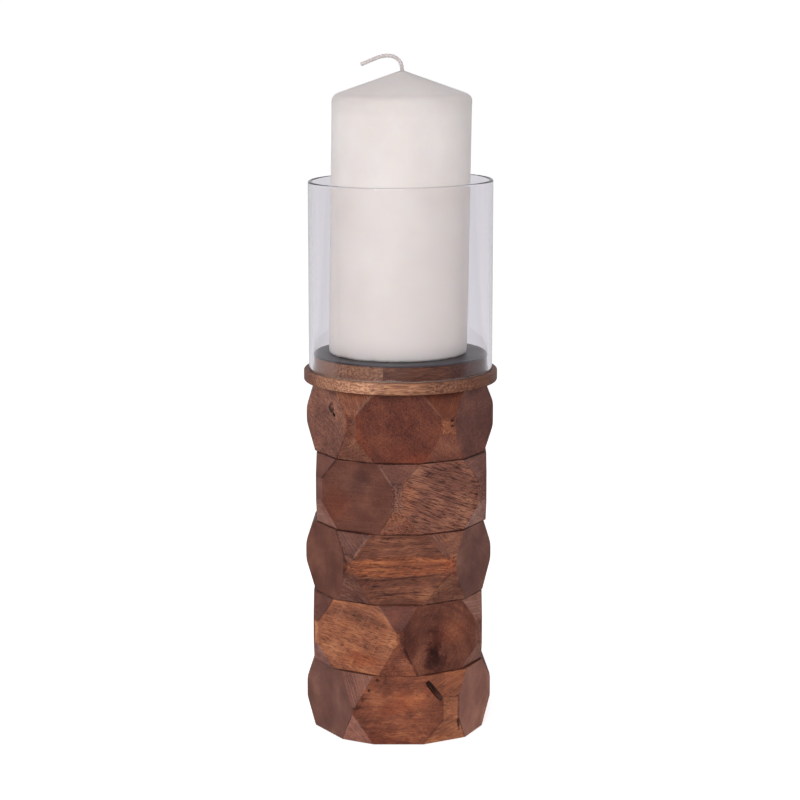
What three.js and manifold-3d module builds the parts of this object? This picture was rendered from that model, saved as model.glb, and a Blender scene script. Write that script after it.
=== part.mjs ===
// Table-top hurricane candle holder: a column of five stacked, faceted wood blocks, a round wood
// ledge with a raised disc, a thin steel candle plate, a loose open glass chimney and a pillar candle.
// Millimetres, +Z up. The origin is the middle of the underside, and -Y is the front.

import * as THREE from 'three';
import { ConvexGeometry } from 'three/addons/geometries/ConvexGeometry.js';
import { mergeVertices } from 'three/addons/utils/BufferGeometryUtils.js';
import Module from 'manifold-3d';

const wasm = await Module();
wasm.setup();

// ---------------------------------------------------------------- driving dimensions

const fitGap = 0.3;

// Column of blocks, listed from the bottom. They are cut and stacked by hand, so their heights differ
// by up to a millimetre and some stand about a millimetre to the left of the column's axis.
const footGap = 0.375;
const blockHeights = [38.75, 39.375, 38.875, 38.875, 38];
const blockShifts = [-1, -1.6, -1.2, 0, -0.4];
const blockNames = ['base_block', 'second_block', 'third_block', 'fourth_block', 'top_block'];

// One block: upright facets at facetApothem from its axis, and corners cut back from a narrow upright
// flat at cornerApothem to the neck at its top and bottom.
const facetCount = 6;
const facetApothem = 45.7;
const cornerApothem = 51;
const cornerFlatHeight = 11;
const neckApothem = 46;
const footApothem = 45.4;

// Ledge, raised disc and candle plate.
const ledgeRadius = 52.75;
const ledgeThickness = 6.375;
const ledgeEdge = 1.4;
const discRadius = 47;
const discThickness = 7.75;
const discEdge = 0.6;
const plateRadius = 47.4;
const plateThickness = 1;

// Glass chimney.
const glassRadius = 50;
const glassWall = 2;
const glassHeight = 102;
const glassEdge = 0.5;

// Pillar candle.
const candleRadius = 37.625;
const candleShoulder = 139.375;
const candleHeight = 152.75;
const candleBaseEdge = 1.5;
const shoulderRound = 3;
const wickRadius = 1.1;
const wickBoreRadius = wickRadius + fitGap;
const wickTabRadius = 9;
const wickTabThickness = 0.5;
const wickTabRecess = 0.5;
const wickStraightEnd = candleHeight + 1.5;

// Visible curl of the wick, from above the wax to its tip, as x and z from the candle's cone tip.
const wickCurl = [[-1, 4.2], [-3.9, 6.7], [-7.6, 7.5], [-11.4, 7], [-15, 5.7], [-18.8, 4.1], [-22.1, 2.8]];

// Hidden hardware.
const rodRadius = 4;
const rodInset = 3;
const nutAcrossFlats = 13;
const nutThickness = 6.5;
const washerRadius = 11;
const washerThickness = 1.625;
const counterboreRadius = 12;
const counterboreDepth = 13;
const dowelRadius = 4;
const dowelHalfLength = 15;
const dowelCircle = 28;
const dowelEdge = 0.8;
const dowelsPerSeam = 2;
const screwCount = 3;
const screwCircle = 30;
const screwLength = 30;
const screwShankRadius = 1.9;
const screwHeadRadius = 4;
const screwHeadHeight = 2.6;
const screwPointHeight = 4;
const feltRadius = 38;
const feltThickness = 1.5;

// Smoothness of round surfaces.
const roundSides = 64;
const smallSides = 20;
const wickSides = 8;
const wickSteps = 60;

// ---------------------------------------------------------------- levels worked out from the above

const blockBottoms = blockHeights.map((_, index) => (
  blockHeights.slice(0, index).reduce((sum, height) => sum + height, footGap)
));
const topBlock = blockHeights.length - 1;
const columnTop = blockBottoms[topBlock] + blockHeights[topBlock];
const ledgeTop = columnTop + ledgeThickness;
const discTop = ledgeTop + discThickness;
const plateTop = discTop + plateThickness;
const recessCeiling = feltThickness + fitGap;
const lowerNutFloor = recessCeiling + counterboreDepth - washerThickness - nutThickness;
const upperNutFloor = columnTop - counterboreDepth + washerThickness;
const rodBottom = recessCeiling + rodInset;
const rodTop = columnTop - rodInset;

// ---------------------------------------------------------------- materials

function material(color, roughness, metalness = 0) {
  return new THREE.MeshStandardMaterial({ color, roughness, metalness });
}

const blockWood = material(0x7d4a38, 0.5);
const turnedWood = material(0x9a6c50, 0.5);
const dowelWood = material(0xc9a878, 0.7);
const charcoalSteel = material(0x4c4a4c, 0.6, 0.3);
const zincSteel = material(0xa9abad, 0.35, 0.9);
const candleWax = material(0xe9e3dc, 0.55);
const wickCotton = material(0xe4e0d6, 0.9);
const baseFelt = material(0x2b2a29, 0.95);
const clearGlass = new THREE.MeshStandardMaterial({
  color: 0xe4e6ee, roughness: 0.05, transparent: true, opacity: 0.35,
});

// ---------------------------------------------------------------- geometry helpers

const facetStep = (2 * Math.PI) / facetCount;

function polar(radius, angle, z = 0) {
  return new THREE.Vector3(radius * Math.cos(angle), radius * Math.sin(angle), z);
}

// A solid of revolution about +Z from [radius, z] points.
function turned(profile, sides) {
  const points = profile.map(([radius, z]) => new THREE.Vector2(radius, z));
  return new THREE.LatheGeometry(points, sides).rotateX(Math.PI / 2);
}

// A ring of revolution: the profile closes on its own first point.
function turnedRing(profile, sides) {
  return turned([...profile, profile[0]], sides);
}

function rod(radius, bottom, top, sides = smallSides) {
  return turned([[0, bottom], [radius, bottom], [radius, top], [0, top]], sides);
}

// A quarter arc of [radius, z] points about a centre, between two angles.
function arc(centerRadius, centerZ, radius, from, to, steps = 4) {
  return Array.from({ length: steps + 1 }, (_, index) => {
    const angle = from + ((to - from) * index) / steps;
    return [centerRadius + radius * Math.cos(angle), centerZ + radius * Math.sin(angle)];
  });
}

function toManifold(geometry) {
  const bare = new THREE.BufferGeometry();
  bare.setAttribute('position', geometry.getAttribute('position').clone());
  bare.setIndex(geometry.getIndex());
  const merged = mergeVertices(bare, 1e-4);
  const index = merged.getIndex().array;
  const corners = [];
  for (let i = 0; i < index.length; i += 3) {
    const [a, b, c] = [index[i], index[i + 1], index[i + 2]];
    if (a !== b && b !== c && c !== a) corners.push(a, b, c);
  }
  return new wasm.Manifold(new wasm.Mesh({
    numProp: 3,
    vertProperties: new Float32Array(merged.getAttribute('position').array),
    triVerts: new Uint32Array(corners),
  }));
}

function fromManifold(solid) {
  const mesh = solid.getMesh();
  const geometry = new THREE.BufferGeometry();
  geometry.setAttribute('position', new THREE.BufferAttribute(mesh.vertProperties, 3));
  geometry.setIndex(new THREE.BufferAttribute(mesh.triVerts, 1));
  geometry.computeVertexNormals();
  return geometry;
}

function cut(body, tools) {
  const result = tools.reduce((solid, tool) => solid.subtract(toManifold(tool)), toManifold(body));
  return fromManifold(result);
}

const holder = new THREE.Group();

function add(name, geometry, finish, z = 0) {
  const mesh = new THREE.Mesh(geometry, finish);
  mesh.name = name;
  mesh.position.z = z;
  holder.add(mesh);
  return mesh;
}

// ---------------------------------------------------------------- clearance tools for the hardware

function dowelBody(gap = 0) {
  const radius = dowelRadius + gap;
  const half = dowelHalfLength + gap;
  const edge = dowelEdge;
  return turned([
    [0, -half], [radius - edge, -half], [radius, edge - half],
    [radius, half - edge], [radius - edge, half], [0, half],
  ], smallSides);
}

// Dowels sit opposite each other, and each seam's pair is turned a quarter from the one below.
function dowelPlaces(seam) {
  return Array.from({ length: dowelsPerSeam }, (_, index) => {
    const angle = (seam * Math.PI) / 2 + (index * 2 * Math.PI) / dowelsPerSeam;
    return polar(dowelCircle, angle);
  });
}

function dowelHoles(seam, z) {
  return dowelPlaces(seam).map((place) => dowelBody(fitGap).translate(place.x, place.y, z));
}

// A countersunk wood screw with its head's top at z = 0.
function screwBody(gap = 0) {
  const head = screwHeadRadius + gap;
  const shank = screwShankRadius + gap;
  const tip = -screwLength - gap;
  return turned([
    [0, tip], [shank, tip + screwPointHeight], [shank, -screwHeadHeight - gap], [head, 0], [0, 0],
  ], smallSides);
}

function screwPlaces() {
  return Array.from({ length: screwCount }, (_, index) => (
    polar(screwCircle, Math.PI / 6 + (index * 2 * Math.PI) / screwCount)
  ));
}

// Screw clearance in a piece whose own zero lies at the given level.
function screwHoles(level) {
  return screwPlaces().map((place) => screwBody(fitGap).translate(place.x, place.y, discTop - level));
}

// ---------------------------------------------------------------- the column

// Corner points of one block's facets. Odd blocks from the bottom face the front with a facet, and
// even blocks with a corner.
function blockCorners(index) {
  const height = blockHeights[index];
  const middle = height / 2;
  const levels = [
    [0, index === 0 ? footApothem : neckApothem],
    [middle - cornerFlatHeight / 2, cornerApothem],
    [middle + cornerFlatHeight / 2, cornerApothem],
    [height, neckApothem],
  ];
  const halfStep = facetStep / 2;
  const turn = index % 2 === 0 ? halfStep : 0;
  const corners = [];
  for (let facet = 0; facet < facetCount; facet += 1) {
    const angle = turn + facet * facetStep;
    for (const [z, apothem] of levels) {
      const side = (apothem - facetApothem * Math.cos(halfStep)) / Math.sin(halfStep);
      for (const offset of [-side, side]) {
        const corner = polar(facetApothem, angle, z).add(polar(offset, angle + Math.PI / 2));
        corners.push(corner.setX(corner.x + blockShifts[index]));
      }
    }
  }
  return corners;
}

function blockTools(index) {
  const bottom = blockBottoms[index];
  const height = blockHeights[index];
  const tools = [rod(rodRadius + fitGap, -1, height + 1)];
  if (index > 0) tools.push(...dowelHoles(index - 1, 0));
  if (index < topBlock) tools.push(...dowelHoles(index, height));
  if (index === 0) {
    const recessTop = recessCeiling - bottom;
    tools.push(rod(feltRadius + fitGap, -1, recessTop, roundSides));
    tools.push(rod(counterboreRadius, -1, recessTop + counterboreDepth));
  }
  if (index === topBlock) {
    tools.push(rod(counterboreRadius, height - counterboreDepth, height + 1));
    tools.push(...screwHoles(bottom));
  }
  return tools;
}

function addColumn() {
  blockNames.forEach((name, index) => {
    const body = new ConvexGeometry(blockCorners(index));
    add(name, cut(body, blockTools(index)), blockWood, blockBottoms[index]);
  });
}

function addDowels() {
  for (let seam = 0; seam < topBlock; seam += 1) {
    dowelPlaces(seam).forEach((place, index) => {
      const mesh = add(`dowel_${seam + 1}${'ab'[index]}`, dowelBody(), dowelWood, blockBottoms[seam + 1]);
      mesh.position.x = place.x;
      mesh.position.y = place.y;
    });
  }
}

// ---------------------------------------------------------------- clamping rod, nuts and washers

function nutGeometry() {
  const outline = new THREE.Shape();
  const cornerRadius = nutAcrossFlats / Math.sqrt(3);
  for (let corner = 0; corner < facetCount; corner += 1) {
    const point = polar(cornerRadius, corner * facetStep);
    if (corner === 0) outline.moveTo(point.x, point.y);
    else outline.lineTo(point.x, point.y);
  }
  outline.closePath();
  outline.holes.push(new THREE.Path().absarc(0, 0, rodRadius + fitGap, 0, 2 * Math.PI, true));
  return new THREE.ExtrudeGeometry(outline, {
    depth: nutThickness, bevelEnabled: false, curveSegments: smallSides,
  });
}

function washerGeometry() {
  const bore = rodRadius + fitGap;
  return turnedRing([
    [bore, 0], [washerRadius, 0], [washerRadius, washerThickness], [bore, washerThickness],
  ], smallSides * 2);
}

function addClampingRod() {
  add('tie_rod', rod(rodRadius, rodBottom, rodTop), zincSteel);
  add('lower_nut', nutGeometry(), zincSteel, lowerNutFloor);
  add('lower_washer', washerGeometry(), zincSteel, lowerNutFloor + nutThickness);
  add('upper_washer', washerGeometry(), zincSteel, upperNutFloor - washerThickness);
  add('upper_nut', nutGeometry(), zincSteel, upperNutFloor);
}

function addFeltPad() {
  add('base_felt_pad', rod(feltRadius, 0, feltThickness, roundSides), baseFelt);
}

// ---------------------------------------------------------------- ledge, raised disc, candle plate

// A round board with its rim's two edges rounded over.
function board(radius, thickness, edge) {
  const quarter = Math.PI / 2;
  return turned([
    [0, 0],
    ...arc(radius - edge, edge, edge, -quarter, 0, 3),
    ...arc(radius - edge, thickness - edge, edge, 0, quarter, 3),
    [0, thickness],
  ], roundSides);
}

function addLedge() {
  const ledge = board(ledgeRadius, ledgeThickness, ledgeEdge);
  const disc = board(discRadius, discThickness, discEdge);
  add('glass_ledge', cut(ledge, screwHoles(columnTop)), turnedWood, columnTop);
  add('raised_disc', cut(disc, screwHoles(ledgeTop)), turnedWood, ledgeTop);
  add('candle_plate', rod(plateRadius, 0, plateThickness, roundSides), charcoalSteel, discTop);
}

function addLedgeScrews() {
  screwPlaces().forEach((place, index) => {
    const mesh = add(`ledge_screw_${index + 1}`, screwBody(), zincSteel, discTop - fitGap);
    mesh.position.x = place.x;
    mesh.position.y = place.y;
  });
}

// ---------------------------------------------------------------- glass chimney and pillar candle

function addChimney() {
  const inner = glassRadius - glassWall;
  const edge = glassEdge;
  const chimney = turnedRing([
    [inner, edge], [inner + edge, 0], [glassRadius - edge, 0], [glassRadius, edge],
    [glassRadius, glassHeight - edge], [glassRadius - edge, glassHeight],
    [inner + edge, glassHeight], [inner, glassHeight - edge],
  ], roundSides);
  add('glass_chimney', chimney, clearGlass, ledgeTop);
}

// Candle body: an upright wall, a rounded shoulder, a shallow cone, and a bore for the wick that
// widens at the base for the wick's metal tab.
function waxGeometry() {
  const coneAngle = Math.atan2(candleHeight - candleShoulder, candleRadius);
  const shoulderZ = candleShoulder - shoulderRound * Math.tan((Math.PI / 2 - coneAngle) / 2);
  const boreTop = candleHeight - wickBoreRadius * Math.tan(coneAngle);
  const tabRecessRadius = wickTabRadius + fitGap;
  const tabRecessHeight = wickTabRecess + wickTabThickness + fitGap;
  return turnedRing([
    [tabRecessRadius, 0],
    ...arc(candleRadius - candleBaseEdge, candleBaseEdge, candleBaseEdge, -Math.PI / 2, 0, 3),
    ...arc(candleRadius - shoulderRound, shoulderZ, shoulderRound, 0, Math.PI / 2 - coneAngle, 4),
    [wickBoreRadius, boreTop],
    [wickBoreRadius, tabRecessHeight],
    [tabRecessRadius, tabRecessHeight],
  ], roundSides);
}

// The wick runs straight up its bore and curls over to one side above the wax.
function wickGeometry() {
  const bottom = wickTabRecess + wickTabThickness + fitGap;
  const straight = new THREE.LineCurve3(
    new THREE.Vector3(0, 0, bottom), new THREE.Vector3(0, 0, wickStraightEnd),
  );
  const curl = new THREE.CatmullRomCurve3([
    new THREE.Vector3(0, 0, wickStraightEnd),
    ...wickCurl.map(([x, rise]) => new THREE.Vector3(x, 0, candleHeight + rise)),
  ], false, 'centripetal');
  const path = new THREE.CurvePath();
  path.add(straight);
  path.add(curl);
  const section = new THREE.Shape().absarc(0, 0, wickRadius, 0, 2 * Math.PI);
  return new THREE.ExtrudeGeometry(section, {
    steps: wickSteps, extrudePath: path, curveSegments: wickSides / 2, bevelEnabled: false,
  });
}

function addCandle() {
  add('candle_wax', waxGeometry(), candleWax, plateTop);
  add('candle_wick', wickGeometry(), wickCotton, plateTop);
  add('wick_tab', rod(wickTabRadius, wickTabRecess, wickTabRecess + wickTabThickness), zincSteel, plateTop);
}

// ---------------------------------------------------------------- assembly

addFeltPad();
addColumn();
addDowels();
addClampingRod();
addLedge();
addLedgeScrews();
addChimney();
addCandle();

export default holder;
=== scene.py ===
"""Looks of a table-top hurricane candle holder: faceted wood column, ledge, plate, glass and candle.

Everything is in metres in the CAD frame: +Z up, the front is -Y, +X is the viewer's right.
Azimuths are degrees round the column, 0 at the front and rising towards the viewer's right.
"""

import random
from typing import NamedTuple
from math import asin, atan2, ceil, copysign, cos, degrees, pi, radians, sin, sqrt, tan

import bmesh
import bpy
from mathutils import Euler, Matrix, Vector, noise


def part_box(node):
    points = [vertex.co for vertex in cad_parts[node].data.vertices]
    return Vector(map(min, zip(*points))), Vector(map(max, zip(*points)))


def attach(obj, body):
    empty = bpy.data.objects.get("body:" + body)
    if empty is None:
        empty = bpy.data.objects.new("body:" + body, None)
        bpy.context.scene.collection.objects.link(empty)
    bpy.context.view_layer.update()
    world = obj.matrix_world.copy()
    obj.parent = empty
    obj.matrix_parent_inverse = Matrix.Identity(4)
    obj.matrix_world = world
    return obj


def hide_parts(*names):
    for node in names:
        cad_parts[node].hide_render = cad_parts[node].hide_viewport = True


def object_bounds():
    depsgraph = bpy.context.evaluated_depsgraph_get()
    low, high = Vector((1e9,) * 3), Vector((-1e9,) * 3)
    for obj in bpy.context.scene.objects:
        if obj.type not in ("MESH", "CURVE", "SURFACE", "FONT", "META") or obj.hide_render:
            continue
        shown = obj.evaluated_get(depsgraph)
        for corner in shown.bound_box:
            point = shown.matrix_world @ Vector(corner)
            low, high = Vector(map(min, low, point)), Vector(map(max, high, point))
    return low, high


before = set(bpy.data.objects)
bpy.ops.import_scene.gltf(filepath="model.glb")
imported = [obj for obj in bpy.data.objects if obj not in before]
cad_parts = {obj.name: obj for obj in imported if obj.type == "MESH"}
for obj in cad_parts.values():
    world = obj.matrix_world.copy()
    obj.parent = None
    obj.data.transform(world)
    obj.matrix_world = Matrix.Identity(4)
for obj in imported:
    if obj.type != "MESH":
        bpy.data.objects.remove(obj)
cad_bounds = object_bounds()
boxes = {name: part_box(name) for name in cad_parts}

# ---------------------------------------------------------------- sizes

MM = 0.001
ROUND_SIDES = 192
BORE_SIDES = 32
CLEARANCE = 0.3 * MM

# Blocks from the bottom. Odd ones face the front with a facet, even ones with a corner.
BLOCKS = ("base_block", "second_block", "third_block", "fourth_block", "top_block")
FACET_STEP = 60
FACET_APOTHEM = 45.7 * MM
CORNER_APOTHEM = 51 * MM
NECK_APOTHEM = 46 * MM
TURNED_RADIUS = 51.15 * MM
FLAT_HALF_HEIGHT = 5.5 * MM

# How far a facet's depth follows its own width, rather than the depth that all facets would share.
HAND_CUT_SHARE = 0.8

# How far each facet that faces the front half runs to its left and right, in mm, by its azimuth.
FACET_RUNS = {
    "base_block": {-60: (23, 26), 0: (25, 25), 60: (16.5, 23.5)},
    "second_block": {-90: (22, 22), -30: (24.5, 25), 30: (23, 24), 90: (21.5, 21.5)},
    "third_block": {-60: (23, 22), 0: (25, 26), 60: (17.5, 23)},
    "fourth_block": {-30: (23.5, 21.5), 30: (25, 21.5), 90: (20.3, 20.3)},
    "top_block": {-60: (23.5, 21.5), 0: (25, 23), 60: (20.5, 21.5)},
}

# Lower and upper end of each corner's upright flat, in mm above the block's bottom, by azimuth.
CORNER_FLATS = {
    "base_block": {-90: (14.6, 24.6), -30: (16, 20), 30: (14, 26), 90: (14.6, 25.6)},
    "second_block": {-60: (13, 25), 0: (17.5, 26.5), 60: (12, 26)},
    "third_block": {-90: (14.6, 24.6), -30: (18, 26), 30: (15.6, 26), 90: (15.6, 23.6)},
    "fourth_block": {-60: (15, 27), 0: (13.5, 27.5), 60: (13, 27)},
    "top_block": {-90: (15, 23), -30: (14, 25.5), 30: (16, 24.5), 90: (13, 25.5)},
}

# Width of the eased edges, in mm, by the kinds of the two faces that meet.
EASED_EDGES = {
    ("end", "facet"): 0.6,
    ("chamfer", "end"): 0.6,
    ("chamfer", "facet"): 0.6,
    ("facet", "flat"): 1.5,
    ("chamfer", "flat"): 2.2,
}
FACE_KINDS = ("end", "facet", "flat", "chamfer")
WIDEST_EDGE = max(EASED_EDGES.values())

# ---------------------------------------------------------------- mesh helpers


def polar(radius, azimuth, z=0.0):
    """The point at a radius and azimuth about the column's axis."""
    angle = radians(azimuth)
    return Vector((radius * sin(angle), -radius * cos(angle), z))


def names_of(prefix):
    """The CAD nodes whose names start with a prefix."""
    return [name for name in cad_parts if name.startswith(prefix)]


def box_centre(node):
    low, high = boxes[node]
    return (low + high) / 2


def box_radius(node):
    low, high = boxes[node]
    return (high.x - low.x) / 2


def arc(centre_radius, centre_z, radius, start, end, steps):
    """Points (radius, z) of an arc about a centre, from one angle in degrees to another."""
    points = []
    for step in range(steps + 1):
        angle = radians(start + (end - start) * step / steps)
        points.append((centre_radius + radius * cos(angle), centre_z + radius * sin(angle)))
    return points


def bridge(mesh, low, high):
    """Faces between two rings of vertices, either of which may be one point on the axis."""
    sides = max(len(low), len(high))
    for side in range(sides):
        after = (side + 1) % sides
        if len(low) == 1:
            mesh.faces.new((low[0], high[side], high[after]))
        elif len(high) == 1:
            mesh.faces.new((low[after], low[side], high[0]))
        else:
            mesh.faces.new((low[side], low[after], high[after], high[side]))


def turned(profile, sides=ROUND_SIDES, closed=False):
    """A solid of revolution from (radius, z) points. A closed profile makes a ring."""
    mesh = bmesh.new()
    rings = []
    for radius, z in profile:
        points = [polar(radius, 360 * side / sides, z) for side in range(sides if radius else 1)]
        rings.append([mesh.verts.new(point) for point in points])
    pairs = list(zip(rings, rings[1:]))
    if closed:
        pairs.append((rings[-1], rings[0]))
    for low, high in pairs:
        bridge(mesh, low, high)
    bmesh.ops.recalc_face_normals(mesh, faces=mesh.faces)
    return mesh


def add_object(name, data):
    made = bpy.data.objects.new(name, data)
    bpy.context.scene.collection.objects.link(made)
    return made


def to_object(name, mesh):
    """A new object that holds a bmesh, which is freed."""
    data = bpy.data.meshes.new(name)
    mesh.to_mesh(data)
    mesh.free()
    return add_object(name, data)


def bake_modifiers(made):
    """Applies an object's modifiers to its mesh."""
    graph = bpy.context.evaluated_depsgraph_get()
    data = bpy.data.meshes.new_from_object(made.evaluated_get(graph), depsgraph=graph)
    made.modifiers.clear()
    made.data = data


def cut(made, tools):
    """Cuts closed meshes, given as bmeshes, out of an object."""
    helpers = [to_object("tool", tool) for tool in tools]
    for helper in helpers:
        boolean = made.modifiers.new("cut", "BOOLEAN")
        boolean.operation = "DIFFERENCE"
        boolean.solver = "EXACT"
        boolean.object = helper
    bake_modifiers(made)
    for helper in helpers:
        bpy.data.objects.remove(helper)


def smooth(made, sharp_angle):
    """Smooth shading with sharp edges kept, and normals that keep large faces flat."""
    for face in made.data.polygons:
        face.use_smooth = True
    made.data.set_sharp_from_angle(angle=radians(sharp_angle))
    weighted = made.modifiers.new("normals", "WEIGHTED_NORMAL")
    weighted.keep_sharp = True


def finish_piece(made, material, body, slot, *nodes, sharp_angle=40):
    """Smooths a piece, gives it its material and body, and hides the CAD nodes it stands for. slot is
    not used.
    """
    smooth(made, sharp_angle)
    made.data.materials.clear()
    made.data.materials.append(material)
    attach(made, body)
    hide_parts(*nodes)


# ---------------------------------------------------------------- shader helpers

# A noise pattern's usual low and high.
NOISE_LOW = 0.3
NOISE_HIGH = 0.7


class Value:
    """An output of a node, which adds, subtracts, multiplies and divides like a number."""

    def __init__(self, tree, socket):
        self.tree = tree
        self.socket = socket

    def __add__(self, other):
        return self.tree.math("ADD", self, other)

    def __radd__(self, other):
        return self.tree.math("ADD", other, self)

    def __sub__(self, other):
        return self.tree.math("SUBTRACT", self, other)

    def __rsub__(self, other):
        return self.tree.math("SUBTRACT", other, self)

    def __mul__(self, other):
        return self.tree.math("MULTIPLY", self, other)

    def __truediv__(self, other):
        return self.tree.math("DIVIDE", self, other)


class Tree:
    """A node tree, with short methods that add a node and return an output of it."""

    def __init__(self, tree):
        self.tree = tree

    def feed(self, socket, value):
        """Links a value to an input, or sets the input to a plain number, vector or colour."""
        if isinstance(value, Value):
            self.tree.links.new(value.socket, socket)
        else:
            socket.default_value = value

    def node(self, kind, inputs=None, **settings):
        made = self.tree.nodes.new(kind)
        for name, value in settings.items():
            setattr(made, name, value)
        for name, value in (inputs or {}).items():
            self.feed(made.inputs[name], value)
        return made

    def value(self, output, kind, inputs=None, **settings):
        """One output of a new node."""
        return Value(self, self.node(kind, inputs, **settings).outputs[output])

    def math(self, operation, first, second=0.0):
        return self.value(0, "ShaderNodeMath", {0: first, 1: second}, operation=operation)

    def vector(self, operation, first, second=(0, 0, 0)):
        output = "Value" if operation in ("LENGTH", "DOT_PRODUCT") else "Vector"
        return self.value(output, "ShaderNodeVectorMath", {0: first, 1: second}, operation=operation)

    def axis(self, vector, name):
        return self.value(name, "ShaderNodeSeparateXYZ", {0: vector})

    def step(self, value, start, end, low=0.0, high=1.0):
        """A smooth step of value, from low at start to high at end."""
        inputs = {"Value": value, "From Min": start, "From Max": end, "To Min": low, "To Max": high}
        return self.value(0, "ShaderNodeMapRange", inputs, interpolation_type="SMOOTHSTEP")

    def ray(self, name):
        """1 or 0 for whether a ray is of one kind, or how often it was reflected so far."""
        return self.value(name, "ShaderNodeLightPath")

    def show(self, shader):
        self.feed(self.node_that_ends("Output").inputs["Surface"], shader)

    def node_that_ends(self, words):
        """The node that a new tree comes with and whose name ends in some words."""
        return next(node for node in self.tree.nodes if node.name.endswith(words))


class Shader(Tree):
    """One material, with the coordinates and patterns that its surface is made from."""

    def __init__(self, name):
        self.material = bpy.data.materials.new(name)
        self.material.use_nodes = True
        super().__init__(self.material.node_tree)
        self.surface = self.node_that_ends("BSDF")
        self.place = self.value("Object", "ShaderNodeTexCoord")
        self.normal = self.value("Normal", "ShaderNodeTexCoord")

    def set(self, **values):
        """Feeds the surface's inputs. An underscore in a name stands for a space."""
        for name, value in values.items():
            self.feed(self.surface.inputs[name.replace("_", " ")], value)

    def attribute(self, name, output="Fac"):
        return self.value(output, "ShaderNodeAttribute", attribute_name=name)

    def local(self, origin, turn, size=(1, 1, 1)):
        """Object coordinates seen from a frame at origin, turned and scaled."""
        inputs = {"Vector": self.place, "Location": origin, "Rotation": turn, "Scale": size}
        return self.value(0, "ShaderNodeMapping", inputs, vector_type="TEXTURE")

    def rotated(self, *turns):
        """Object coordinates turned about X, Y and Z, in degrees."""
        return self.local((0, 0, 0), tuple(radians(turn) for turn in turns))

    def stretched(self, vector, along):
        """Coordinates whose patterns come out longer by a factor along X."""
        return self.vector("MULTIPLY", vector, (1 / along, 1, 1))

    def wobbled(self, vector, size, amount, detail=2.0):
        """Coordinates pushed about by up to an amount."""
        push = self.vector("SUBTRACT", self.noise(vector, size, detail, output="Color"), (0.5, 0.5, 0.5))
        return self.vector("ADD", vector, self.vector("MULTIPLY", push, (amount, amount, amount)))

    def noise(self, vector, size, detail=2.0, roughness=0.5, output="Fac"):
        inputs = {"Vector": vector, "Scale": 1 / size, "Detail": detail, "Roughness": roughness}
        return self.value(output, "ShaderNodeTexNoise", inputs)

    def bands(self, value, size, detail=2.0):
        """Irregular bands along one value, such as a radius."""
        inputs = {"W": value, "Scale": 1 / size, "Detail": detail}
        return self.value("Fac", "ShaderNodeTexNoise", inputs, noise_dimensions="1D")

    def ramp(self, value, *stops, interpolation="LINEAR"):
        """A colour by value, from stops of a value and a colour each."""
        made = self.node("ShaderNodeValToRGB", {"Fac": value})
        made.color_ramp.interpolation = interpolation
        points = made.color_ramp.elements
        while len(points) < len(stops):
            points.new(1.0)
        for point, (position, colour) in zip(points, stops):
            point.position = position
            point.color = (*colour, 1)
        return Value(self, made.outputs["Color"])

    def between(self, value, low, high):
        """A colour that follows a noise pattern from one colour at its lows to another at its highs."""
        return self.ramp(value, (NOISE_LOW, low), (NOISE_HIGH, high))

    def mix(self, amount, first, second, blend="MIX"):
        """The first colour, gone over to the second by an amount."""
        inputs = {"Fac": amount}
        for name, colour in (("Color1", first), ("Color2", second)):
            inputs[name] = (*colour, 1) if isinstance(colour, tuple) else colour
        return self.value("Color", "ShaderNodeMixRGB", inputs, blend_type=blend)

    def tinted(self, colour, tint, amount=1.0):
        return self.mix(amount, colour, tint, "MULTIPLY")

    def finish(self, colour, gloss, relief, depth, strength, **others):
        """Sets the surface's colour, roughness, bumps and other inputs, and gives its material."""
        inputs = {"Height": relief, "Distance": depth, "Strength": strength}
        bumps = self.value("Normal", "ShaderNodeBump", inputs)
        self.set(Base_Color=colour, Roughness=gloss, Normal=bumps, **others)
        return self.material

    def let_light_through(self, tint):
        """Lamps and soft light pass straight through the surface, so what stands behind it stays lit."""
        clear = self.value(0, "ShaderNodeBsdfTransparent", {"Color": (*tint, 1)})
        shown = Value(self, self.surface.outputs[0])
        for kind in ("Is Shadow Ray", "Is Diffuse Ray"):
            shown = self.value(0, "ShaderNodeMixShader", {0: self.ray(kind), 1: shown, 2: clear})
        self.show(shown)


# ---------------------------------------------------------------- block wood

LACQUER = {"IOR": 1.5, "Specular_IOR_Level": 0.3}
WOOD_SHADES = (
    (0.25, (0.048, 0.016, 0.011)), (0.50, (0.190, 0.064, 0.037)), (0.75, (0.400, 0.168, 0.084)),
)
PORE = (0.26, 0.20, 0.20)
WORN_AND_HIGHLIGHT = (0.40, 0.24, 0.17)
BURNT_AND_SEAM_SHADE = (0.30, 0.24, 0.25)
SANDED = (0.36, 0.19, 0.14)

# How far the marks and the sanding take the wood towards those colours, and how patchy the marks are.
WORN_AND_HIGHLIGHT_AMOUNT = 0.26
BURNT_AND_SEAM_SHADE_AMOUNT = 0.9
SANDED_AMOUNT = 0.36
MARK_PATCHES = 6 * MM
MARK_LEVELS = (0.30, 0.55)

# The figure: how long and wide its patterns are, and how strong the ones are that no look sets.
GRAIN_BEND = 32 * MM
STREAK_LENGTH = 14
STREAK_WIDTH = 1.6 * MM
FIBRE_LENGTH = 7
FIBRE_WIDTH = 0.6 * MM
FIBRE_STRENGTH = 0.35
CLOUD_WIDTH = 15 * MM
CLOUD_STRENGTH = 0.42
RING_SLOPE = 0.05

# The figure fades as a face turns towards the end of the grain, and where the sanding shows most.
END_GRAIN = (0.55, 0.9)
SANDED_CALM = (0.7, 1.0, 1.0, 0.6)

# Pores and scratches: the levels of their noise at which they start, which dense pores lower.
PORE_LEVEL = 0.60
PORE_EDGE = 0.09
PORE_COVER = 0.10
SCRATCH_LENGTH = 40
SCRATCH_WIDTH = 0.6 * MM
SCRATCH_LEVELS = (0.5, 0.66)

# The ragged edge of a patch, as shares of its size: its lumps, and how far they and the figure push it.
PATCH_LUMPS = 0.9
PATCH_PUSH = 1.5
PATCH_GRAIN = 3

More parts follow.
